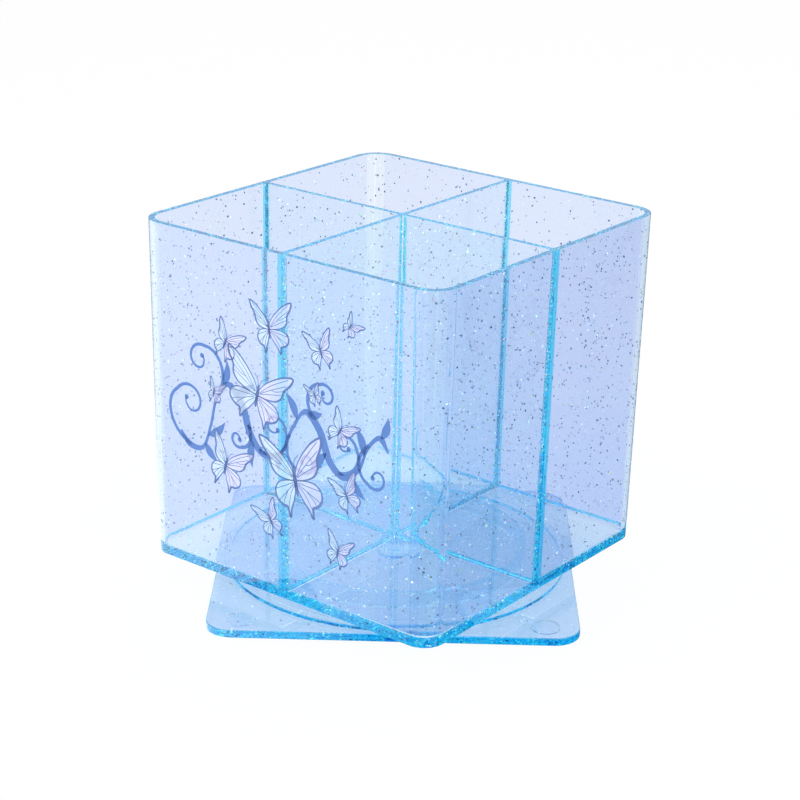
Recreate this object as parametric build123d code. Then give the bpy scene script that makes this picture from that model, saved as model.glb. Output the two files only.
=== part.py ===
from build123d import *

import math
import os

# Revolving desk organizer: a square cup with four compartments turns on a square base plate.
# Millimetres, +Z up. The origin is at the middle of the surface that the feet stand on, on the
# axis of the turntable. X and Y follow the walls of the cup in its rest position, in which the
# base plate is turned under the cup.

# Cup: walls, floor and cross of dividers are one drafted moulding.
CUP_SIDE_TOP = 105.0
CUP_SIDE_BOTTOM = 102.2
CUP_HEIGHT = 100.4
CUP_CORNER_TOP = 7.9
CUP_CORNER_BOTTOM = 6.5
WALL = 1.8
FLOOR = 2.4
DIVIDER_TOP = 1.5
DIVIDER_BOTTOM = 2.7
JUNCTION_RADIUS = 0.8
POCKET_FLOOR_RADIUS = 0.8
EDGE_ROUNDING = 0.35

# Base plate, with the low round rail that rings the turntable.
BASE_SIDE = 104.3
BASE_CORNER = 7.6
BASE_THICKNESS = 2.3
BASE_TURN = 37.3
RAIL_INSET = 1.85
RAIL_WIDTH = 2.2
RAIL_HEIGHT = 1.0

# Turntable: a ring under the cup glides on the plate, and a pin holds the two together.
TABLE_GAP = 4.7
RING_INSET = 12.0
RING_WIDTH = 2.0
GLIDE_CLEARANCE = 0.10
BOND_LINE = 0.05
PIN_DIAMETER = 4.0
PIN_RUNNING_FIT = 0.08
PIN_PRESS_FIT = 0.01
PIN_SOCKET_ROOF = 0.7
PIN_END_CLEARANCE = 0.2
PIN_HEAD_DIAMETER = 9.0
PIN_HEAD_THICKNESS = 0.9
PIN_HEAD_CLEARANCE = 0.15
PIN_HEAD_SETBACK = 0.05
HUB_DIAMETER = 10.0
PLATE_HUB_HEIGHT = 0.6
WASHER_THICKNESS = 0.8
WASHER_CLEARANCE = 0.05

# Feet: four round pads under the corners of the plate.
FOOT_DIAMETER = 8.0
FOOT_HEIGHT = 0.9
FOOT_INSET = 9.5
FOOT_ROUNDING = 0.3

# Heights and radii that follow from the sizes above.
plate_bottom = FOOT_HEIGHT
plate_top = plate_bottom + BASE_THICKNESS
cup_bottom = plate_top + TABLE_GAP
floor_top = cup_bottom + FLOOR
rail_radius = BASE_SIDE / 2 - RAIL_INSET
ring_radius = rail_radius - RING_INSET
washer_bottom = plate_top + PLATE_HUB_HEIGHT + WASHER_CLEARANCE
washer_top = washer_bottom + WASHER_THICKNESS
cup_hub_bottom = washer_top + WASHER_CLEARANCE
socket_top = floor_top - PIN_SOCKET_ROOF
head_recess_depth = PIN_HEAD_SETBACK + PIN_HEAD_THICKNESS + PIN_HEAD_CLEARANCE


def rounded_square(side, corner):
    """Square outline with rounded corners, centred on the turntable's axis."""
    return RectangleRounded(side, side, corner)


def disc(radius, bottom, top):
    """Upright round disc or post on the turntable's axis."""
    return Pos(0, 0, bottom) * Cylinder(radius, top - bottom, align=(Align.CENTER, Align.CENTER, Align.MIN))


def ring(outer, inner, bottom, top):
    """Upright ring on the turntable's axis."""
    return disc(outer, bottom, top) - disc(inner, bottom, top)


def at_height(bottom_value, top_value, height):
    """A drafted size at a height above the underside of the cup."""
    return bottom_value + (top_value - bottom_value) * height / CUP_HEIGHT


def pocket_outline(height):
    """Outline of one compartment: a large radius at the cup's corner and small ones elsewhere."""
    near = at_height(DIVIDER_BOTTOM, DIVIDER_TOP, height) / 2
    far = at_height(CUP_SIDE_BOTTOM, CUP_SIDE_TOP, height) / 2 - WALL
    cup_corner = at_height(CUP_CORNER_BOTTOM, CUP_CORNER_TOP, height) - WALL
    outline = Polygon((near, near), (far, near), (far, far), (near, far), align=None)
    corners = outline.vertices().sort_by(lambda corner: corner.X + corner.Y)
    outline = fillet(corners[-1], cup_corner)
    small_corners = outline.vertices().filter_by(
        lambda corner: math.isclose(min(corner.X, corner.Y), near)
        and not math.isclose(corner.X + corner.Y, 2 * far - cup_corner)
    )
    return fillet(small_corners, JUNCTION_RADIUS)


def make_pocket():
    """The hollow of the compartment on the +X +Y side, open at the rim, rounded at its floor."""
    bottom = Pos(0, 0, floor_top) * pocket_outline(FLOOR)
    top = Pos(0, 0, cup_bottom + CUP_HEIGHT) * pocket_outline(CUP_HEIGHT)
    hollow = loft([bottom, top], ruled=True)
    return fillet(hollow.faces().sort_by(Axis.Z)[0].edges(), POCKET_FLOOR_RADIUS)


def make_cup():
    """Drafted square cup with a cross of dividers and a short hub under its floor."""
    bottom = Pos(0, 0, cup_bottom) * rounded_square(CUP_SIDE_BOTTOM, CUP_CORNER_BOTTOM)
    top = Pos(0, 0, cup_bottom + CUP_HEIGHT) * rounded_square(CUP_SIDE_TOP, CUP_CORNER_TOP)
    cup = loft([bottom, top], ruled=True)
    pocket = make_pocket()
    for quarter in range(4):
        cup -= Rot(0, 0, 90 * quarter) * pocket
    cup = fillet(cup.faces().sort_by(Axis.Z)[0].edges(), EDGE_ROUNDING)
    cup += disc(HUB_DIAMETER / 2, cup_hub_bottom, cup_bottom)
    return cup - disc(PIN_DIAMETER / 2 + PIN_PRESS_FIT, cup_hub_bottom, socket_top)


def make_base_plate():
    """Square plate with a round rail, a centre hub, a bore for the pin and a recess for its head."""
    plate = extrude(Pos(0, 0, plate_bottom) * rounded_square(BASE_SIDE, BASE_CORNER), BASE_THICKNESS)
    flat_faces = plate.faces().filter_by(Axis.Z)
    plate = fillet([edge for face in flat_faces for edge in face.edges()], EDGE_ROUNDING)
    plate += ring(rail_radius, rail_radius - RAIL_WIDTH, plate_top, plate_top + RAIL_HEIGHT)
    plate += disc(HUB_DIAMETER / 2, plate_top, plate_top + PLATE_HUB_HEIGHT)
    plate -= disc(PIN_DIAMETER / 2 + PIN_RUNNING_FIT, plate_bottom, plate_top + PLATE_HUB_HEIGHT)
    plate -= disc(
        PIN_HEAD_DIAMETER / 2 + PIN_HEAD_CLEARANCE, plate_bottom, plate_bottom + head_recess_depth
    )
    return Rot(0, 0, BASE_TURN) * plate


def make_turntable_ring():
    """Plain ring bonded under the cup, gliding on the plate."""
    return ring(
        ring_radius, ring_radius - RING_WIDTH, plate_top + GLIDE_CLEARANCE, cup_bottom - BOND_LINE
    )


def make_pivot_pin():
    """Headed pin: its head runs in the plate's recess and its end is pressed into the cup's hub."""
    head_bottom = plate_bottom + PIN_HEAD_SETBACK
    head_top = head_bottom + PIN_HEAD_THICKNESS
    head = disc(PIN_HEAD_DIAMETER / 2, head_bottom, head_top)
    shank = disc(PIN_DIAMETER / 2, head_bottom, socket_top - PIN_END_CLEARANCE)
    return head + shank


def make_thrust_washer():
    """Plain washer between the plate's hub and the cup's hub."""
    return ring(
        HUB_DIAMETER / 2, PIN_DIAMETER / 2 + PIN_RUNNING_FIT, washer_bottom, washer_top
    )


def make_foot(side_x, side_y):
    """Round pad under one corner of the plate, turned with the plate."""
    reach = BASE_SIDE / 2 - FOOT_INSET
    pad = disc(FOOT_DIAMETER / 2, 0, FOOT_HEIGHT)
    pad = fillet(pad.edges().sort_by(Axis.Z)[0], FOOT_ROUNDING)
    return Rot(0, 0, BASE_TURN) * Pos(side_x * reach, side_y * reach, 0) * pad


def make_parts():
    """Every node of the object by name."""
    parts = {
        "organizer_cup": make_cup(),
        "turntable_ring": make_turntable_ring(),
        "pivot_pin": make_pivot_pin(),
        "thrust_washer": make_thrust_washer(),
        "base_plate": make_base_plate(),
    }
    for depth, side_y in (("front", -1), ("back", 1)):
        for hand, side_x in (("left", -1), ("right", 1)):
            parts[f"foot_{depth}_{hand}"] = make_foot(side_x, side_y)
    return parts


os.makedirs("parts", exist_ok=True)
for name, shape in make_parts().items():
    export_step(shape, f"parts/{name}.step")
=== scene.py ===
"""Looks of a revolving desk organizer: a square see-through cup with glitter in its walls turns on a
square see-through plate.  Metres, +Z up, in the frame of the CAD model."""

import math

import bmesh
import bpy
import numpy as np
from mathutils import Matrix, Vector


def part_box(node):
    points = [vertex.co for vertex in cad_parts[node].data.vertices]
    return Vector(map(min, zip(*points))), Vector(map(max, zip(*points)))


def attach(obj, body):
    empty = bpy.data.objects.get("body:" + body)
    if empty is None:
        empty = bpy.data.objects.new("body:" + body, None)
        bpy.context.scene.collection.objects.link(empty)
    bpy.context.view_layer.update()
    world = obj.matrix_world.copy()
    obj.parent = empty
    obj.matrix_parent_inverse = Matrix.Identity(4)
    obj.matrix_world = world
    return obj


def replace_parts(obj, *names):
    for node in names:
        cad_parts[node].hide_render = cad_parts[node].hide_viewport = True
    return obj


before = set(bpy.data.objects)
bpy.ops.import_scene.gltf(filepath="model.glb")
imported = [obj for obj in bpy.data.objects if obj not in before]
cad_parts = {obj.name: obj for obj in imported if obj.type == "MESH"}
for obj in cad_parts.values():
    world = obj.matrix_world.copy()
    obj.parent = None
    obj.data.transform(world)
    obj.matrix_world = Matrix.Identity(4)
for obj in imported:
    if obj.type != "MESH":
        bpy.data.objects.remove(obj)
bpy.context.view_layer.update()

MM = 0.001

# ---------------------------------------------------------------- sizes shared with the CAD nodes
WALL = 1.8 * MM
FLOOR = 2.4 * MM
BOND_LINE = 0.05 * MM
CUP_CORNER = (6.5 * MM, 7.9 * MM)  # outside corner radius, at the bottom and at the rim
DIVIDER = (2.7 * MM, 1.5 * MM)  # thickness of the dividers, at the floor and at the rim
DRAFT = 1.4 * MM  # how far each wall leans out over the cup's height
PLATE_THICKNESS = 2.3 * MM
PLATE_SIDE = 104.3 * MM
PLATE_CORNER = 7.6 * MM
PLATE_TURN = math.radians(37.3)
HUB_RADIUS = 5.0 * MM
FOOT_ROUNDING = 0.3 * MM

rim_half, _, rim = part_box("organizer_cup")[1]
cup_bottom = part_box("turntable_ring")[1].z + BOND_LINE
cup_height = rim - cup_bottom
plate_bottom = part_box("base_plate")[0].z
plate_top = plate_bottom + PLATE_THICKNESS
rail_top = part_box("base_plate")[1].z


def wall_half(z):
    """Half the outside width of the cup at height z: it grows in a straight line up to the rim."""
    return rim_half - DRAFT * (rim - z) / cup_height


def between(ends, z):
    """A drafted size at height z: a straight line from ends[0] at the cup's bottom to ends[1] at its rim."""
    return ends[0] + (ends[1] - ends[0]) * (z - cup_bottom) / cup_height


def show_piece(name, mesh, body):
    """Puts a mesh into the scene at the origin, as a piece that rides a body."""
    piece = bpy.data.objects.new(name, mesh)
    bpy.context.collection.objects.link(piece)
    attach(piece, body)
    return piece


# ---------------------------------------------------------------- camera
CAMERA_AZIMUTH = 37.6  # degrees, from the front towards the right
CAMERA_ELEVATION = 20.41  # degrees
CAMERA_ROLL = 1.313  # degrees
CAMERA_DISTANCE = 0.6117
CAMERA_TARGET = Vector((0, 0, 55.15 * MM))
CAMERA_LENS = 95.13  # millimetres, on a sensor 36 mm wide
CAMERA_SHIFT = (0.00136, -0.0106)


def way_out(azimuth, elevation):
    """Unit vector away from the object; both angles are in degrees, and azimuth 0 is the front."""
    a, e = math.radians(azimuth), math.radians(elevation)
    return Vector((math.sin(a) * math.cos(e), -math.cos(a) * math.cos(e), math.sin(e)))


def make_camera():
    """Camera on a ray from the middle of the object: it looks down that ray, turned a little about it."""
    data = bpy.data.cameras.new("front_camera")
    data.lens, data.sensor_width = CAMERA_LENS, 36.0
    data.shift_x, data.shift_y = CAMERA_SHIFT
    data.clip_start, data.clip_end = 0.01, 20.0
    camera = bpy.data.objects.new("front_camera", data)
    bpy.context.collection.objects.link(camera)
    back = way_out(CAMERA_AZIMUTH, CAMERA_ELEVATION)
    place = Matrix.Translation(CAMERA_TARGET + back * CAMERA_DISTANCE)
    aim = (-back).to_track_quat("-Z", "Y").to_matrix().to_4x4()
    camera.matrix_world = place @ aim @ Matrix.Rotation(math.radians(CAMERA_ROLL), 4, "Z")
    bpy.context.scene.camera = camera


# ---------------------------------------------------------------- nodes of a material
def new_material(name):
    """An empty node material with its output node."""
    material = bpy.data.materials.new(name)
    material.use_nodes = True
    tree = material.node_tree
    tree.nodes.clear()
    output = tree.nodes.new("ShaderNodeOutputMaterial")
    return material, tree, output


def feed(tree, socket, value):
    """Links an input to another node's output, or sets it; a colour of three parts is made opaque."""
    if isinstance(value, bpy.types.NodeSocket):
        tree.links.new(value, socket)
    elif socket.type == "RGBA":
        socket.default_value = (*value, 1)
    else:
        socket.default_value = value


def node(tree, kind, **inputs):
    """A node with values or links on its inputs; a key has __ for a space, such as Base__Color."""
    made = tree.nodes.new(kind)
    for key, value in inputs.items():
        feed(tree, made.inputs[key.replace("__", " ")], value)
    return made


def math_node(tree, operation, *values, kind="ShaderNodeMath"):
    """The result of one Math node, or of one Vector Math node; each value is a constant or a socket."""
    made = tree.nodes.new(kind)
    made.operation = operation
    for socket, value in zip(made.inputs, values):
        feed(tree, socket, value)
    return next(result for result in made.outputs if result.enabled)


def ranged(tree, value, span, levels):
    """A value carried in a straight line from the span to the levels, and held at both ends."""
    made = node(tree, "ShaderNodeMapRange", Value=value)
    for key, constant in zip(("From Min", "From Max", "To Min", "To Max"), (*span, *levels)):
        made.inputs[key].default_value = constant
    return made.outputs["Result"]


def mix_colour(tree, share, first, second):
    """first where share is 0 and second where it is 1; each is a colour or a socket."""
    blend = tree.nodes.new("ShaderNodeMix")
    blend.data_type = "RGBA"
    feed(tree, blend.inputs["Factor"], share)
    feed(tree, blend.inputs[6], first)
    feed(tree, blend.inputs[7], second)
    return blend.outputs[2]


def mix_shader(tree, share, first, second):
    """The first shader where share is 0 and the second where it is 1."""
    blend = tree.nodes.new("ShaderNodeMixShader")
    for socket, value in zip(blend.inputs, (share, first.outputs[0], second.outputs[0])):
        feed(tree, socket, value)
    return blend


def object_place(tree):
    """The point's own place on the object, in metres."""
    return tree.nodes.new("ShaderNodeTexCoord").outputs["Object"]


# ---------------------------------------------------------------- effects that materials share
def new_group(name, inputs, outputs):
    """An empty node group with named sockets; each is a name and a kind, such as Float."""
    group = bpy.data.node_groups.new(name, "ShaderNodeTree")
    for in_out, sockets in (("INPUT", inputs), ("OUTPUT", outputs)):
        for socket, kind in sockets:
            group.interface.new_socket(socket, in_out=in_out, socket_type="NodeSocket" + kind)
    return group, group.nodes.new("NodeGroupInput"), group.nodes.new("NodeGroupOutput")


def use_group(tree, group, **inputs):
    """A node that uses a group, with values or links on its named inputs."""
    made = tree.nodes.new("ShaderNodeGroup")
    made.node_tree = group
    for key, value in inputs.items():
        feed(tree, made.inputs[key.replace("__", " ")], value)
    return made


def make_drift_group(name, stretch, detail, roughness):
    """Soft noise on the object blends two close tones.  The stretch scales each axis before the noise
    reads it, so that a share below 1 draws the clouds out along that axis."""
    colours = [("Tone", "Color"), ("Second Tone", "Color")]
    group, start, end = new_group(name, [*colours, ("Scale", "Float")], [("Color", "Color")])
    place = node(group, "ShaderNodeMapping", Vector=object_place(group), Scale=stretch)
    cloud = node(
        group,
        "ShaderNodeTexNoise",
        Vector=place.outputs["Vector"],
        Scale=start.outputs["Scale"],
        Detail=detail,
        Roughness=roughness,
    )
    tones = (start.outputs["Tone"], start.outputs["Second Tone"])
    feed(group, end.inputs["Color"], mix_colour(group, cloud.outputs["Fac"], *tones))
    return group


def make_region_group():
    """Where a point of the cup lies.  Reach is the larger of |x| and |y|.  Wall is 1 where reach is past
    the cup's half width less its wall at that height.  Edge is 1 on the outside along the floor and along
    a divider's end, and on the rim; there the edge tint is painted edge glow, the deep cyan that light shows
    where it runs along the length of a panel."""
    group, _, end = new_group("cup_regions", [], [("Wall", "Float"), ("Edge", "Float")])
    size = math_node(group, "ABSOLUTE", object_place(group), kind="ShaderNodeVectorMath")
    parts = node(group, "ShaderNodeSeparateXYZ", Vector=size)
    x, y, z = (parts.outputs[axis] for axis in "XYZ")
    reach = math_node(group, "MAXIMUM", x, y)
    outside = math_node(group, "MULTIPLY_ADD", z, DRAFT / cup_height, wall_half(0.0) - 0.3 * MM)
    past_wall = math_node(group, "GREATER_THAN", reach, math_node(group, "SUBTRACT", outside, WALL))
    feed(group, end.inputs["Wall"], past_wall)
    on_outside = math_node(group, "GREATER_THAN", reach, outside)
    slope, start = (DIVIDER[1] - DIVIDER[0]) / 2 / cup_height, DIVIDER[0] / 2 + 0.2 * MM
    divider_half = math_node(group, "MULTIPLY_ADD", z, slope, start)
    at_divider = math_node(group, "LESS_THAN", math_node(group, "MINIMUM", x, y), divider_half)
    at_floor = math_node(group, "LESS_THAN", z, cup_bottom + FLOOR)
    band = math_node(group, "MULTIPLY", on_outside, math_node(group, "MAXIMUM", at_divider, at_floor))
    on_rim = math_node(group, "GREATER_THAN", z, rim - 0.05 * MM)
    feed(group, end.inputs["Edge"], math_node(group, "MAXIMUM", band, on_rim))
    return group


def make_side_group():
    """1 on the upright sides of the base plate and of its rail, where z is clear of their flat faces.  There
    the edge tint is painted edge glow, the deep cyan that light shows along the length of the plate.
    """
    group, _, end = new_group("plate_sides", [], [("Edge", "Float")])
    z = node(group, "ShaderNodeSeparateXYZ", Vector=object_place(group)).outputs["Z"]
    bands = []
    for bottom, top, clear in ((plate_bottom, plate_top, 0.2 * MM), (plate_top, rail_top, 0.1 * MM)):
        above = math_node(group, "GREATER_THAN", z, bottom + clear)
        below = math_node(group, "LESS_THAN", z, top - clear)
        bands.append(math_node(group, "MULTIPLY", above, below))
    feed(group, end.inputs["Edge"], math_node(group, "MAXIMUM", *bands))
    return group


# ---------------------------------------------------------------- see-through plastic
ABSORBED_PER_MM = (0.036, 0.0045, 0.001)  # red, green and blue
WALL_TINT = (0.80, 0.82, 1.0)
DIVIDER_TINT = (0.955, 0.968, 1.0)
PLATE_TINT = (0.66, 0.735, 0.89)
# painted edge glow: the deep cyan that light shows where it runs along the length of a panel, painted as
# colour on the edges
EDGE_GLOW_TINT = (0.05, 0.66, 0.96)
RING_TINT = (0.80, 0.93, 0.98)
PIN_TINT = (0.92, 0.96, 1.0)
WASHER_TINT = (0.92, 0.95, 1.0)
FOOT_TINT = (0.96, 0.98, 1.0)
SHADOW_TINT = (0.86, 0.93, 0.99)  # what a shadow ray keeps of its light at each surface
FLOW_SCALE = 22.0


def absorb_volume(tree, output, strength):
    """Light fades along its path as exp(-density x (1 - colour) x path)."""
    most = max(ABSORBED_PER_MM)
    colour = tuple(1 - c / most for c in ABSORBED_PER_MM)
    volume = node(tree, "ShaderNodeVolumeAbsorption", Color=colour, Density=most * strength / MM)
    feed(tree, output.inputs["Volume"], volume.outputs["Volume"])


def paler(tint):
    """The second tone of a moulding: each part of the tint a little nearer to white."""
    return tuple(min(1.0, c + 0.02) for c in tint)


def see_through(name, tint, strength=1.0, roughness=0.0, ior=1.5, inner_tint=None, regions=None):
    """Refracting plastic; its shadow rays pass tinted, so that light reaches what is inside and behind.
    Regions is a group that says where the tint gives way to the inner tint and to the painted edge glow."""
    material, tree, output = new_material(name)
    tone, second = tint, paler(tint)
    if regions:
        region = use_group(tree, regions)
        if inner_tint:
            tone = mix_colour(tree, region.outputs["Wall"], inner_tint, tone)
            second = mix_colour(tree, region.outputs["Wall"], paler(inner_tint), second)
        # painted edge glow on the outside along the floor, along the dividers' ends, on the rim and on the
        # plate's sides
        tone = mix_colour(tree, region.outputs["Edge"], tone, EDGE_GLOW_TINT)
        second = mix_colour(tree, region.outputs["Edge"], second, EDGE_GLOW_TINT)
    flow = use_group(tree, MOULDING_FLOW, Tone=tone, Second__Tone=second, Scale=FLOW_SCALE)
    plastic = node(
        tree,
        "ShaderNodeBsdfPrincipled",
        Base__Color=flow.outputs["Color"],
        Roughness=roughness,
        IOR=ior,
        Transmission__Weight=1.0,
    )
    passing = node(tree, "ShaderNodeBsdfTransparent", Color=SHADOW_TINT)
    path = tree.nodes.new("ShaderNodeLightPath")
    surface = mix_shader(tree, path.outputs["Is Shadow Ray"], plastic, passing)
    feed(tree, output.inputs["Surface"], surface.outputs[0])
    if strength:
        absorb_volume(tree, output, strength)
    return material


def paint(name, material):
    """Gives a CAD node this material in each of its slots."""
    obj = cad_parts[name]
    if not obj.material_slots:
        obj.data.materials.append(material)
    for slot in obj.material_slots:
        slot.material = material


# ---------------------------------------------------------------- glitter
FLAKE_CORNERS = 6
FLAKE_RADII = (0.20 * MM, 0.42 * MM)
FLAKE_ROOM = 0.45 * MM  # a flake's middle stays this far inside the plastic
FLAKES_IN_CUP = (6800, 2000, 800)  # in its walls, dividers and floor
DARK_IN_CUP = (0.60, 0.12, 0.04)  # share of dark flakes in the same three
FLAKES_IN_PLATE = 1000  # before those near its hub, rim and corners are dropped
DARK_IN_PLATE = 0.15
SILVER_SHARE = 0.62  # of the flakes that aren't dark; the rest are rainbow-like
FLAKE_SEED = 4107


def flake_colours(dark_share, rng):
    """Tone of each flake: its share are dark blue-grey, and the rest silver or pale and rainbow-like.
    A rainbow tone is 0.70 + 0.22 cos(2 pi (shade + 0, 0.33 or 0.67)) in red, green and blue."""
    count = len(dark_share)
    kind = rng.random(count)
    shade = rng.random((count, 1))
    dark = np.array([0.10, 0.14, 0.25]) + shade * np.array([0.20, 0.22, 0.26])
    silver = np.array([0.86, 0.91, 0.96]) + shade * np.array([0.14, 0.09, 0.04])
    rainbow = 0.70 + 0.22 * np.cos(2 * math.pi * (shade + np.array([0.0, 0.33, 0.67])))
    split = dark_share + (1 - dark_share) * SILVER_SHARE
    bright = np.where(kind[:, None] < split[:, None], silver, rainbow)
    return np.where(kind[:, None] < dark_share[:, None], dark, bright)


def scatter_flakes(name, centres, dark_share, rng, body):
    """One mesh of six-sided flakes.  Each is centre + radius (cos t a + sin t b) for six angles t,
    with a and b two random directions at right angles."""
    count = len(centres)
    normal = rng.normal(size=(count, 3))
    normal /= np.linalg.norm(normal, axis=1, keepdims=True)
    helper = np.where(np.abs(normal[:, 2:]) < 0.9, [[0, 0, 1.0]], [[1.0, 0, 0]])
    a = np.cross(normal, helper)
    a /= np.linalg.norm(a, axis=1, keepdims=True)
    b = np.cross(normal, a)
    radius = rng.uniform(*FLAKE_RADII, count)[:, None, None]
    angle = (np.arange(FLAKE_CORNERS) * 2 * math.pi / FLAKE_CORNERS)[None, :, None]
    points = centres[:, None, :] + radius * (np.cos(angle) * a[:, None, :] + np.sin(angle) * b[:, None, :])

    corners = count * FLAKE_CORNERS
    mesh = bpy.data.meshes.new(name)
    mesh.vertices.add(corners)
    mesh.vertices.foreach_set("co", points.astype(np.float32).ravel())
    mesh.loops.add(corners)
    mesh.loops.foreach_set("vertex_index", np.arange(corners, dtype=np.int32))
    mesh.polygons.add(count)
    mesh.polygons.foreach_set("loop_start", np.arange(0, corners, FLAKE_CORNERS, dtype=np.int32))
    mesh.polygons.foreach_set("loop_total", np.full(count, FLAKE_CORNERS, dtype=np.int32))
    tone = mesh.color_attributes.new(name="flake_tone", type="FLOAT_COLOR", domain="CORNER")
    rgb = np.repeat(flake_colours(dark_share, rng), FLAKE_CORNERS, axis=0)
    tone.data.foreach_set("color", np.column_stack([rgb, np.ones(corners)]).astype(np.float32).ravel())
    mesh.update()
    mesh.validate()
    return show_piece(name, mesh, body)


def turned(x, y, angle):
    """Points x, y turned about the upright axis, as two columns."""
    c, s = np.cos(angle), np.sin(angle)
    return np.stack([x * c - y * s, x * s + y * c], 1)


def rounded_square_path(s, half, corner):
    """Point and outward direction at share s of the way round a rounded square: four straight runs of
    2 (half - corner) and four quarter arcs of the corner radius, taken in turn."""
    straight = 2 * (half - corner)
    arc = corner * math.pi / 2
    lap = straight + arc
    way = (s % 1.0) * 4 * lap
    side = np.floor(way / lap)
    on = way - side * lap
    t = np.clip((on - straight) / arc, 0, 1) * math.pi / 2
    # Side 0 is the run at +x, going up y, and then the arc towards +y.
    x = (half - corner) + corner * np.cos(t)
    y = np.where(on < straight, on - straight / 2, (half - corner) + corner * np.sin(t))
    quarter = side * math.pi / 2
    return turned(x, y, quarter), turned(np.cos(t), np.sin(t), quarter)


def glitter_in_cup(rng):
    """Middles of the flakes in the cup's walls, dividers and floor, even within each, and the share of
    them that are dark.  A wall's flake is its outline's point at that height, moved in by its depth."""
    in_walls, in_dividers, in_floor = FLAKES_IN_CUP
    z = rng.uniform(cup_bottom + FLAKE_ROOM, rim - FLAKE_ROOM, in_walls)
    place, out = rounded_square_path(rng.random(in_walls), wall_half(z), between(CUP_CORNER, z))
    depth = rng.uniform(FLAKE_ROOM, WALL - FLAKE_ROOM, in_walls)
    walls = np.column_stack([place - out * depth[:, None], z])

    z = rng.uniform(cup_bottom + FLOOR, rim - FLAKE_ROOM, in_dividers)
    along = rng.uniform(-1, 1, in_dividers) * (wall_half(z) - WALL)
    across = rng.uniform(-1, 1, in_dividers) * (between(DIVIDER, z) / 2 - FLAKE_ROOM)
    on_x = rng.random(in_dividers) < 0.5
    dividers = np.column_stack([np.where(on_x, along, across), np.where(on_x, across, along), z])

    flat = rng.uniform(-1, 1, (in_floor, 2)) * (wall_half(cup_bottom) - 2 * WALL)
    z = rng.uniform(cup_bottom + FLAKE_ROOM, cup_bottom + FLOOR - FLAKE_ROOM, in_floor)
    floor = np.column_stack([flat, z])
    return np.concatenate([walls, dividers, floor]), np.repeat(DARK_IN_CUP, FLAKES_IN_CUP)


def glitter_in_plate(rng):
    """Middles of the flakes in the base plate, even over its rounded square and turned with it, and the
    share of them that are dark."""
    margin = 1.0 * MM
    flat = rng.uniform(-1, 1, (FLAKES_IN_PLATE, 2)) * (PLATE_SIDE / 2 - margin)
    beyond = np.maximum(np.abs(flat) - (PLATE_SIDE / 2 - PLATE_CORNER), 0)
    keep = np.hypot(beyond[:, 0], beyond[:, 1]) < PLATE_CORNER - margin
    keep &= np.hypot(flat[:, 0], flat[:, 1]) > HUB_RADIUS + 1.5 * MM
    flat = turned(flat[keep, 0], flat[keep, 1], PLATE_TURN)
    z = rng.uniform(plate_bottom + FLAKE_ROOM, plate_top - FLAKE_ROOM, len(flat))
    return np.column_stack([flat, z]), np.full(len(z), DARK_IN_PLATE)


def flake_material():
    """Foil: the flake's own tone, slightly metallic, with a faint glow of the same tone."""
    material, tree, output = new_material("glitter_foil")
    tone = tree.nodes.new("ShaderNodeAttribute")
    tone.attribute_name = "flake_tone"
    foil = node(
        tree,
        "ShaderNodeBsdfPrincipled",
        Base__Color=tone.outputs["Color"],
        Roughness=0.3,
        Metallic=0.2,
        Emission__Color=tone.outputs["Color"],
        Emission__Strength=0.25,
    )
    feed(tree, output.inputs["Surface"], foil.outputs[0])
    return material


def make_glitter():
    """The loose flakes of the cup and of the base plate, in one foil."""
    rng = np.random.default_rng(FLAKE_SEED)
    foil = flake_material()
    for flakes in (
        scatter_flakes("cup_glitter", *glitter_in_cup(rng), rng, "cup"),
        scatter_flakes("base_glitter", *glitter_in_plate(rng), rng, "base"),
    ):
        flakes.data.materials.append(foil)


# ---------------------------------------------------------------- feet
FOOT_SIDES = 40
FOOT_GAP = 0.06 * MM  # the pad's top stays this far under the plate, so that no two faces coincide
FOOT_DISH = 0.10 * MM  # how far the middle of the underside is hollowed


def foot_profile(radius, top):
    """Radius and height of the pad from the middle of its top, out, down a quarter round of its lower
    edge, and back to the middle of its dished underside."""
    bend = np.linspace(0, math.pi / 2, 7)
    rounded = 1 - FOOT_ROUNDING / radius * (1 - np.cos(bend))
    r = np.concatenate([[0.0, 0.55, 0.99], rounded, [0.85, 0.55, 0.0]]) * radius
    dish = [0.0, 0.8 * FOOT_DISH, FOOT_DISH]
    return r, np.concatenate([[top - FOOT_GAP] * 3, FOOT_ROUNDING * (1 - np.sin(bend)), dish])


def make_feet(material):
    """Four round pads, each its profile turned once about its own upright axis:
    x = centre + r cos(angle), y = centre + r sin(angle)."""
    for name in sorted(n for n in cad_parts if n.startswith("foot_")):
        low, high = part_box(name)
        r, z = foot_profile((high.x - low.x) / 2, high.z)
        angle = np.arange(FOOT_SIDES) * 2 * math.pi / FOOT_SIDES
        x = (low.x + high.x) / 2 + r[:, None] * np.cos(angle)
        y = (low.y + high.y) / 2 + r[:, None] * np.sin(angle)
        points = np.stack([x, y, z[:, None] + 0 * angle], -1).reshape(-1, 3)
        i, j = np.meshgrid(np.arange(len(r) - 1), np.arange(FOOT_SIDES), indexing="ij")
        ring, below = i * FOOT_SIDES, (i + 1) * FOOT_SIDES
        k = (j + 1) % FOOT_SIDES
        faces = np.stack([ring + j, below + j, below + k, ring + k], -1).reshape(-1, 4)
        mesh = bpy.data.meshes.new(name + "_pad")
        mesh.from_pydata(points.tolist(), [], faces.tolist())
        close_poles(mesh)
        mesh.materials.append(material)
        mesh.polygons.foreach_set("use_smooth", np.ones(len(mesh.polygons), dtype=bool))
        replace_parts(show_piece(name + "_pad", mesh, "base"), name)


def close_poles(mesh):
    """Merges the points that meet at a pole and makes every face look outwards."""
    form = bmesh.new()
    form.from_mesh(mesh)
    bmesh.ops.remove_doubles(form, verts=form.verts, dist=1e-7)
    bmesh.ops.recalc_face_normals(form, faces=form.faces)
    form.to_mesh(mesh)
    form.free()


# ---------------------------------------------------------------- printed decoration
INK_GAP = 0.03 * MM  # each printed layer stands this much further off the wall
FLOURISH_LAYER, WING_LAYER, LINE_LAYER = 1, 2, 3


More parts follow.
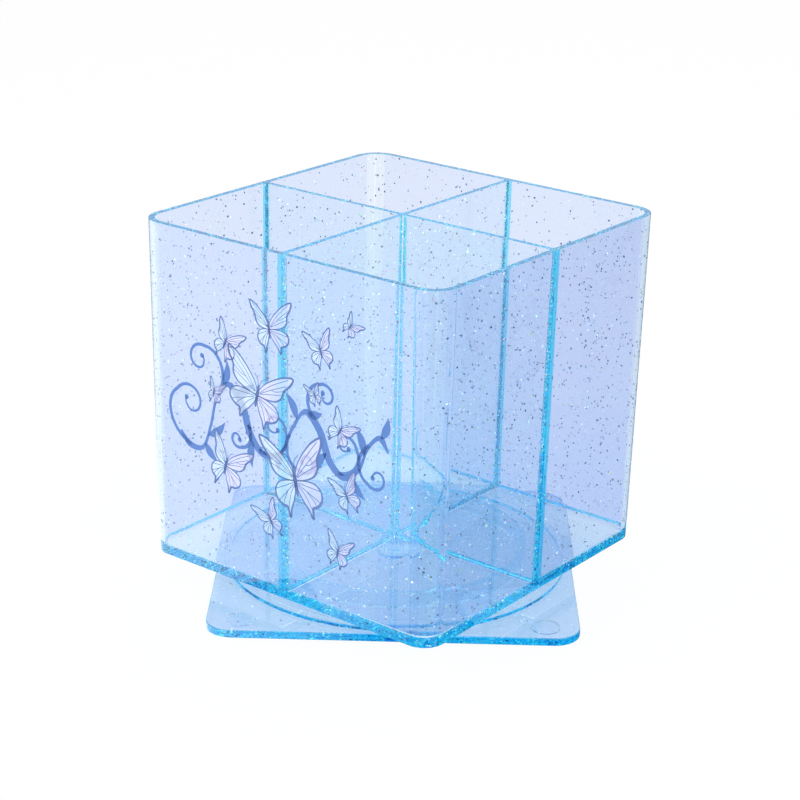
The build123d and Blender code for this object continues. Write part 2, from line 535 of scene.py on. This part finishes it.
def on_printed_wall(u, z, layer):
    """Points of the front wall, in mm along it and above the ground, a few ink layers off its outside:
    x = u, y = -(half width of the cup at z) - layer x ink gap."""
    z = z * MM
    return np.stack([u * MM, -wall_half(z) - layer * INK_GAP, z], axis=-1)


def smooth_through(points, closed=False, steps=10):
    """Smooth curve through points.  Between points b and c, with a before and d after, at share t:
    b + t (c - a) / 2 + t^2 (2a - 5b + 4c - d) / 2 + t^3 (3b - a - 3c + d) / 2."""
    p = np.asarray(points, float)
    if closed:
        a, b, c, d = np.roll(p, 1, 0), p, np.roll(p, -1, 0), np.roll(p, -2, 0)
    else:
        q = np.concatenate([2 * p[:1] - p[1:2], p, 2 * p[-1:] - p[-2:-1]])
        a, b, c, d = q[:-3], q[1:-2], q[2:-1], q[3:]
    t = (np.arange(steps) / steps)[None, :, None]
    a, b, c, d = (v[:, None, :] for v in (a, b, c, d))
    curve = b + t * (c - a) / 2 + t**2 * (2 * a - 5 * b + 4 * c - d) / 2 + t**3 * (3 * b - a - 3 * c + d) / 2
    curve = curve.reshape(-1, 2)
    return np.concatenate([curve, curve[:1] if closed else p[-1:]])


class InkLayer:
    """Flat shapes on one layer of ink, gathered as corner points and faces."""

    def __init__(self, layer):
        self.layer = layer
        self.points, self.faces, self.count = [], [], 0

    def add(self, points, faces):
        """Takes a shape: its points, in mm on the wall, and its faces, counted from its own first point."""
        self.points.append(points)
        self.faces.append(faces + self.count)
        self.count += len(points)

    def stroke(self, path, width):
        """A pen stroke: the path moved half its width to each side, across its direction."""
        step = np.gradient(path, axis=0)
        length = np.maximum(np.linalg.norm(step, axis=1), 1e-9)
        across = np.stack([step[:, 1], -step[:, 0]], 1) / length[:, None]
        half = np.broadcast_to(np.asarray(width, float), len(path))[:, None] / 2
        n = len(path)
        i = np.arange(n - 1)
        sides = np.concatenate([path - across * half, path + across * half])
        self.add(sides, np.stack([i, i + n, i + n + 1, i + 1], 1))

    def patch(self, outline, middle):
        """A filled outline: at share r from its middle, middle + r (outline - middle)."""
        n = len(outline)
        share = np.array([0.02, 0.5, 1.0])[:, None, None]
        grid = middle + share * (outline - middle)
        i = np.arange(n - 1)
        rings = [np.stack([i + k * n, i + k * n + n, i + k * n + n + 1, i + k * n + 1], 1) for k in (0, 1)]
        self.add(grid.reshape(-1, 2), np.concatenate(rings))

    def piece(self, name, material):
        """Lays the gathered shapes on the wall as one mesh that turns with the cup."""
        u, z = np.concatenate(self.points).T
        mesh = bpy.data.meshes.new(name)
        mesh.from_pydata(on_printed_wall(u, z, self.layer).tolist(), [], np.concatenate(self.faces).tolist())
        mesh.materials.append(material)
        show_piece(name, mesh, "cup")


# One right wing pair on a body from (0, -0.2) to (0, 0.2), in shares of the butterfly's size.
UPPER_WING = [
    (0.02, 0.10), (0.10, 0.26), (0.26, 0.44), (0.46, 0.60), (0.66, 0.68), (0.64, 0.54),
    (0.53, 0.36), (0.50, 0.20), (0.40, 0.08), (0.22, 0.02), (0.04, 0.01),
]
UPPER_VEINS = [
    [(0.04, 0.07), (0.26, 0.34), (0.58, 0.62)],
    [(0.05, 0.06), (0.28, 0.26), (0.56, 0.48)],
    [(0.05, 0.05), (0.28, 0.16), (0.51, 0.26)],
    [(0.26, 0.25), (0.36, 0.26), (0.53, 0.36)],
]
LOWER_WING = [
    (0.03, -0.01), (0.22, 0.0), (0.40, -0.04), (0.50, -0.16), (0.48, -0.30), (0.37, -0.39),
    (0.28, -0.42), (0.25, -0.58), (0.19, -0.44), (0.11, -0.32), (0.02, -0.12),
]
LOWER_VEINS = [
    [(0.05, -0.03), (0.24, -0.08), (0.48, -0.14)],
    [(0.05, -0.05), (0.24, -0.18), (0.45, -0.32)],
    [(0.04, -0.07), (0.16, -0.22), (0.26, -0.44)],
    [(0.20, -0.15), (0.32, -0.30), (0.36, -0.38)],
]
WINGS = (  # outline, middle, veins
    (UPPER_WING, (0.30, 0.30), UPPER_VEINS),
    (LOWER_WING, (0.24, -0.20), LOWER_VEINS),
)
FEELER = [(0.01, 0.18), (0.05, 0.32), (0.14, 0.40)]

# Each butterfly: place along the wall and above the ground (mm), size (mm), turn (degrees),
# and how far its left and right wings are opened towards the viewer.
BUTTERFLIES = [
    (-20, 79, 9.0, -24, 0.72, 0.95),
    (-4, 86.5, 11.5, 8, 0.75, 1.15),
    (14, 84.5, 8.6, 18, 0.85, 0.85),
    (24, 93.5, 5.2, -38, 0.70, 1.0),
    (-8.5, 66.5, 15.0, -12, 1.25, 1.10),
    (-24.5, 63.5, 6.0, -14, 0.55, 0.9),
    (12, 71.5, 5.0, 20, 0.9, 0.7),
    (20.6, 63.5, 8.2, -30, 0.8, 0.9),
    (-20.5, 42.5, 12.5, -16, 0.75, 1.0),
    (5, 45, 18.5, 12, 0.85, 0.95),
    (23, 45.5, 8.6, 24, 0.8, 0.95),
    (-4, 30.5, 8.6, 30, 0.9, 0.75),
    (20, 28, 8.0, -12, 0.85, 0.9),
]


def place_butterfly(points, u, z, size, turn, opened):
    """Local points, x scaled by how far the wing is opened, then scaled, turned and moved to the wall."""
    p = np.asarray(points, float) * [opened * size, size]
    return turned(p[:, 0], p[:, 1], math.radians(turn)) + [u, z]


def draw_butterflies(lines, left_wings, right_wings):
    """Outlines that thicken towards the wing tips, thin veins, a spindle body and two feelers each.
    An outline's pen is its width x (0.55 + 0.9 sin^2(pi share)), and a body is an ellipse."""
    for *at, left, right in BUTTERFLIES:
        size = at[2]
        pen = 0.15 + 0.020 * size
        for opened, wings in ((-left, left_wings), (right, right_wings)):
            for outline, middle, veins in WINGS:
                curve = place_butterfly(smooth_through(outline, closed=True), *at, opened)
                wings.patch(curve, place_butterfly([middle], *at, opened)[0])
                share = np.linspace(0, 1, len(curve))
                lines.stroke(curve, pen * (0.55 + 0.9 * np.sin(math.pi * share) ** 2))
                for vein in veins:
                    lines.stroke(place_butterfly(smooth_through(vein), *at, opened), 0.42 * pen)
            feeler = place_butterfly(smooth_through(FEELER), *at, math.copysign(1, opened))
            lines.stroke(feeler, 0.4 * pen)
        along = np.linspace(-0.24, 0.22, 16)
        body = place_butterfly(np.stack([0 * along, along], 1), *at, 1)
        lines.stroke(body, 0.075 * size * np.sqrt(np.clip(1 - ((along + 0.01) / 0.24) ** 2, 0, 1)))


# The flourish: a long stem that thins where it climbs, curling tendrils and pointed leaves (mm).
STEM = [
    (-37.5, 49), (-34, 45.5), (-29, 46), (-26, 53), (-23.5, 62), (-19, 67), (-14, 62), (-11, 54),
    (-6, 49.5), (0, 52), (4, 60), (8.5, 66), (13.5, 62), (17, 54), (22, 50.5), (27, 54),
    (30, 61), (34, 65), (37, 61.5),
]
TENDRILS = [  # start, middle of the curl, turns, way round
    ((-33.5, 45.6), (-33.5, 58.5), 1.35, -1),
    ((-22.5, 64.0), (-29.5, 72.0), 1.30, 1),
    ((-12.0, 57.0), (-16.0, 52.0), 1.20, -1),
    ((-8.0, 50.5), (-2.5, 58.5), 1.30, 1),
    ((3.0, 58.0), (8.5, 51.5), 1.20, 1),
    ((11.5, 64.8), (15.5, 72.0), 1.30, -1),
    ((20.0, 51.3), (22.5, 59.5), 1.25, 1),
    ((30.5, 62.0), (33.0, 53.5), 1.25, 1),
]
TENDRIL_END = 0.75  # radius of the dot that ends a tendril (mm)
LEAVES = [  # root, tip
    ((-27.0, 50.0), (-20.5, 55.5)),
    ((-28.0, 47.5), (-23.5, 42.8)),
    ((-21.0, 66.5), (-19.5, 74.0)),
    ((-16.5, 65.5), (-9.8, 69.5)),
    ((-10.2, 52.5), (-10.5, 44.5)),
    ((0.5, 52.8), (-1.0, 45.5)),
    ((5.5, 63.0), (1.5, 70.0)),
    ((9.5, 65.8), (14.5, 67.0)),
    ((16.0, 56.0), (11.5, 47.5)),
    ((24.5, 51.5), (29.5, 46.0)),
    ((28.8, 58.5), (25.5, 66.5)),
    ((34.5, 65.0), (36.8, 71.5)),
]


def draw_stem(ink):
    """Width (1.75 - 0.85 climb) mm, where climb is the sine of the stem's direction; over the last
    steps to each end it falls to a quarter."""
    steps = 14
    stem = smooth_through(STEM, steps=steps)
    way = np.gradient(stem, axis=0)
    climb = way[:, 1] / np.linalg.norm(way, axis=1)
    index = np.arange(len(stem))
    ends = np.minimum(1, np.minimum(index, index[::-1]) / steps)
    ink.stroke(stem, (1.75 - 0.85 * climb) * (0.25 + 0.75 * ends))


def draw_tendrils(ink):
    """A spiral: centre + radius x shrink at an angle that grows evenly with share s, where shrink is
    (1 - s)^0.8 (1 - 0.45 min(1, 4 s)) but never under 0.14.  A dot closes its inner end."""
    share = np.linspace(0, 1, 70)
    shrink = np.maximum(0.14, (1 - share) ** 0.8 * (1 - 0.45 * np.minimum(1, share * 4)))
    round_dot = np.linspace(0, 2 * math.pi, 19)
    dot = TENDRIL_END * np.stack([np.cos(round_dot), np.sin(round_dot)], 1)
    for start, centre, turns, sense in TENDRILS:
        out = np.subtract(start, centre)
        angle = math.atan2(out[1], out[0]) + sense * turns * 2 * math.pi * share
        radius = np.hypot(*out) * shrink
        spiral = np.stack([radius * np.cos(angle), radius * np.sin(angle)], 1) + centre
        ink.stroke(spiral, 1.15 - 0.65 * share)
        ink.patch(spiral[-1] + dot, spiral[-1])


def draw_leaves(ink):
    """From root to tip at share s: bowed to one side by a tenth of its length x sin(pi s), and
    0.06 + 2.5 sin(pi s^0.8)^1.1 mm wide."""
    share = np.linspace(0, 1, 22)
    bow = 0.10 * np.sin(math.pi * share)[:, None]
    for root, tip in LEAVES:
        way = np.subtract(tip, root)
        side = np.array([way[1], -way[0]])
        ink.stroke(root + share[:, None] * way + bow * side, 0.06 + 2.5 * np.sin(math.pi * share**0.8) ** 1.1)


# Each ink: first tone, second tone, scale of its drift, share of the light that passes.
FLOURISH_INK = ((0.060, 0.185, 0.56), (0.075, 0.215, 0.60), 90, 0.0)
MINT_INK = ((0.82, 1.0, 1.0), (0.90, 0.98, 1.0), 260, 0.6)
LILAC_INK = ((0.86, 0.95, 1.0), (0.97, 0.84, 1.0), 260, 0.6)
LINE_INK = ((0.065, 0.15, 0.43), (0.085, 0.18, 0.48), 120, 0.0)


def ink_material(name, tone, second, scale, passing):
    """Satin ink whose colour drifts softly between two close tones.  Thin ink lets part of the light
    pass nearly straight, and glows faintly so that it stays pale on the tinted wall."""
    material, tree, output = new_material(name)
    drift = use_group(tree, INK_DRIFT, Tone=tone, Second__Tone=second, Scale=scale)
    ink = node(tree, "ShaderNodeBsdfPrincipled", Base__Color=drift.outputs["Color"], Roughness=0.4)
    if passing:
        ink.inputs["Transmission Weight"].default_value = passing
        ink.inputs["IOR"].default_value = 1.05
        ink.inputs["Emission Color"].default_value = (*second, 1)
        ink.inputs["Emission Strength"].default_value = 0.14
    feed(tree, output.inputs["Surface"], ink.outputs[0])
    return material


def make_print():
    """The decoration of the front wall: flourish, wings and lines, each on its own layer of ink."""
    flourish = InkLayer(FLOURISH_LAYER)
    left_wings, right_wings, lines = InkLayer(WING_LAYER), InkLayer(WING_LAYER), InkLayer(LINE_LAYER)
    for draw in (draw_stem, draw_tendrils, draw_leaves):
        draw(flourish)
    draw_butterflies(lines, left_wings, right_wings)
    flourish.piece("print_flourish", ink_material("flourish_ink", *FLOURISH_INK))
    left_wings.piece("print_left_wings", ink_material("mint_ink", *MINT_INK))
    right_wings.piece("print_right_wings", ink_material("lilac_ink", *LILAC_INK))
    lines.piece("print_lines", ink_material("line_ink", *LINE_INK))


# ---------------------------------------------------------------- studio
WHITE = (1, 1, 1)
SURROUND_LIGHT = (0.6, 1.0)  # strength of the surround for what it lights, and where it is seen
FLOOR_COLOUR = (0.93, 0.93, 0.93)
FLOOR_HALF = 6.0
FLOOR_DROP = 0.02 * MM  # the floor lies this far under the feet
GLOW_SEEN = 0.93  # share of the floor's glow that the eye sees
GLOW_THROUGH = 0.5  # share of it that is seen through the plastic
SHEEN_WAY = (-0.61, -0.79, 0.0)  # towards the front left
SHEEN_SPAN = (0.35, 0.95)  # cosine of the angle to that way, from the dim to the bright side
SHEEN_LEVELS = (0.1, 2.7)  # strength of the floor in first reflections, on either side
LAMP_DISTANCE = 1.4
LAMP_TARGET = Vector((0, 0, 0.05))
LAMPS = (  # name, azimuth and elevation in degrees, width in metres, power in watts
    ("key_lamp", -20, 50, 0.9, 6.8),
    ("fill_lamp", 85, 35, 0.9, 4.0),
    ("back_lamp", 205, 55, 1.0, 4.6),
)


def make_surround():
    """An even pale surround: full white where it is seen, dimmer where it lights matt surfaces."""
    world = bpy.data.worlds.new("studio")
    bpy.context.scene.world = world
    world.use_nodes = True
    tree = world.node_tree
    tree.nodes.clear()
    output = tree.nodes.new("ShaderNodeOutputWorld")
    path = tree.nodes.new("ShaderNodeLightPath")
    seen = math_node(tree, "MAXIMUM", path.outputs["Is Camera Ray"], path.outputs["Is Glossy Ray"])
    seen = math_node(tree, "MAXIMUM", seen, path.outputs["Is Transmission Ray"])
    level = ranged(tree, seen, (0.0, 1.0), SURROUND_LIGHT)
    background = node(tree, "ShaderNodeBackground", Color=WHITE, Strength=level)
    feed(tree, output.inputs["Surface"], background.outputs[0])


def floor_material():
    """Matt floor that glows where it is seen, so that it reads white and still takes the shadow.  In first
    reflections it is brighter towards the front left: its level rises with the cosine of the angle
    between that way and the point's own direction from the object."""
    material, tree, output = new_material("pale_floor")
    path = tree.nodes.new("ShaderNodeLightPath")
    matt = node(tree, "ShaderNodeBsdfDiffuse", Color=FLOOR_COLOUR)
    glow = node(tree, "ShaderNodeEmission", Color=WHITE, Strength=1.0)
    seen = math_node(tree, "MULTIPLY", path.outputs["Is Camera Ray"], GLOW_SEEN)
    through = math_node(tree, "MULTIPLY", path.outputs["Is Transmission Ray"], GLOW_THROUGH)
    plain = mix_shader(tree, math_node(tree, "ADD", seen, through), matt, glow)
    way = math_node(tree, "NORMALIZE", object_place(tree), kind="ShaderNodeVectorMath")
    lean = math_node(tree, "DOT_PRODUCT", way, SHEEN_WAY, kind="ShaderNodeVectorMath")
    level = ranged(tree, lean, SHEEN_SPAN, SHEEN_LEVELS)
    sheen = node(tree, "ShaderNodeEmission", Color=WHITE, Strength=level)
    mirrored = math_node(tree, "MULTIPLY", path.outputs["Is Glossy Ray"], path.outputs["Is Reflection Ray"])
    surface = mix_shader(tree, mirrored, plain, sheen)
    feed(tree, output.inputs["Surface"], surface.outputs[0])
    return material


def make_floor():
    """A wide square floor just under the feet."""
    mesh = bpy.data.meshes.new("studio_floor")
    corners = [(x * FLOOR_HALF, y * FLOOR_HALF, -FLOOR_DROP) for x, y in ((-1, -1), (1, -1), (1, 1), (-1, 1))]
    mesh.from_pydata(corners, [], [(0, 1, 2, 3)])
    mesh.materials.append(floor_material())
    floor = bpy.data.objects.new("studio_floor", mesh)
    bpy.context.collection.objects.link(floor)


def make_lamps():
    """Three soft round lamps that look at the object."""
    for name, azimuth, elevation, width, power in LAMPS:
        light = bpy.data.lights.new(name, "AREA")
        light.shape, light.size, light.energy = "DISK", width, power
        lamp = bpy.data.objects.new(name, light)
        bpy.context.collection.objects.link(lamp)
        back = way_out(azimuth, elevation)
        lamp.location = LAMP_TARGET + back * LAMP_DISTANCE
        lamp.rotation_mode = "QUATERNION"
        lamp.rotation_quaternion = (-back).to_track_quat("-Z", "Y")


def make_studio():
    """The surround, the floor, the lamps, and as many bounces as light needs inside the panels."""
    make_surround()
    make_floor()
    make_lamps()
    scene = bpy.context.scene
    scene.view_settings.view_transform = "Standard"
    scene.cycles.max_bounces = 96
    scene.cycles.transmission_bounces = 64
    scene.cycles.glossy_bounces = 96
    scene.cycles.transparent_max_bounces = 64


# ---------------------------------------------------------------- the object
make_camera()
make_studio()

MOULDING_FLOW = make_drift_group("moulding_flow", stretch=(1.0, 1.0, 0.35), detail=3.0, roughness=0.6)
INK_DRIFT = make_drift_group("ink_drift", stretch=(1.0, 1.0, 1.0), detail=2.0, roughness=0.5)
cup_plastic = see_through("cup_plastic", WALL_TINT, inner_tint=DIVIDER_TINT, regions=make_region_group())
paint("organizer_cup", cup_plastic)
paint("base_plate", see_through("plate_plastic", PLATE_TINT, regions=make_side_group()))
paint("turntable_ring", see_through("ring_plastic", RING_TINT))
paint("pivot_pin", see_through("pin_plastic", PIN_TINT, strength=0.5))
paint("thrust_washer", see_through("washer_plastic", WASHER_TINT, strength=0.3, roughness=0.15))
make_feet(see_through("foot_gel", FOOT_TINT, strength=0.0, roughness=0.05, ior=1.12))
make_print()
make_glitter()
